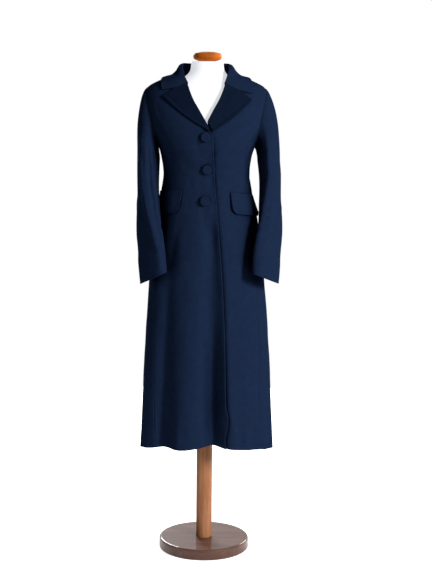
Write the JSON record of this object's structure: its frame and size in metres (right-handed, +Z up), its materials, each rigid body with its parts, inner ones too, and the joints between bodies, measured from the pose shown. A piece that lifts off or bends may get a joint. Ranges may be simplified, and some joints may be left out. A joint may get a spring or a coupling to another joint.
{
  "type": "wool overcoat on a dress form with a round stand",
  "caption": "Long single-breasted navy wool overcoat with notched lapels, covered buttons and flap pockets, worn by a white limbless dress form on a wooden pole and round base.",
  "frame": {"origin": "centre of the stand base's underside, on the floor", "axes": "+Z up along the pole, -Y towards the front of the coat, +X towards the wearer's left"},
  "size_m": [0.4819, 0.3094, 1.6815],
  "materials": {
    "navy_wool": "double-faced wool coating with a short nap and a soft sheen",
    "navy_wool_trim": "the same wool over buttons and buttonhole welts",
    "white_jersey": "smooth white jersey cover",
    "varnished_wood": "reddish varnished wood",
    "pole_wood": "satin varnished beech",
    "base_wood": "dark glossy varnished wood"
  },
  "bodies": {
    "root": {"front_right": "navy_wool", "front_left": "navy_wool", "side_panel_right": "navy_wool", "side_panel_left": "navy_wool", "back": "navy_wool", "upper_sleeve_right": "navy_wool", "upper_sleeve_left": "navy_wool", "under_sleeve_right": "navy_wool", "under_sleeve_left": "navy_wool", "collar_stand": "navy_wool", "collar_fall": "navy_wool", "lapel_right": "navy_wool", "lapel_left": "navy_wool", "flap_right": "navy_wool", "flap_left": "navy_wool", "buttonhole_1": "navy_wool_trim", "buttonhole_2": "navy_wool_trim", "buttonhole_3": "navy_wool_trim", "button_1": "navy_wool_trim", "button_2": "navy_wool_trim", "button_3": "navy_wool_trim", "dress_form": "white_jersey", "neck_cap": "varnished_wood", "pole": "pole_wood", "base": "base_wood"}
  },
  "joints": []
}
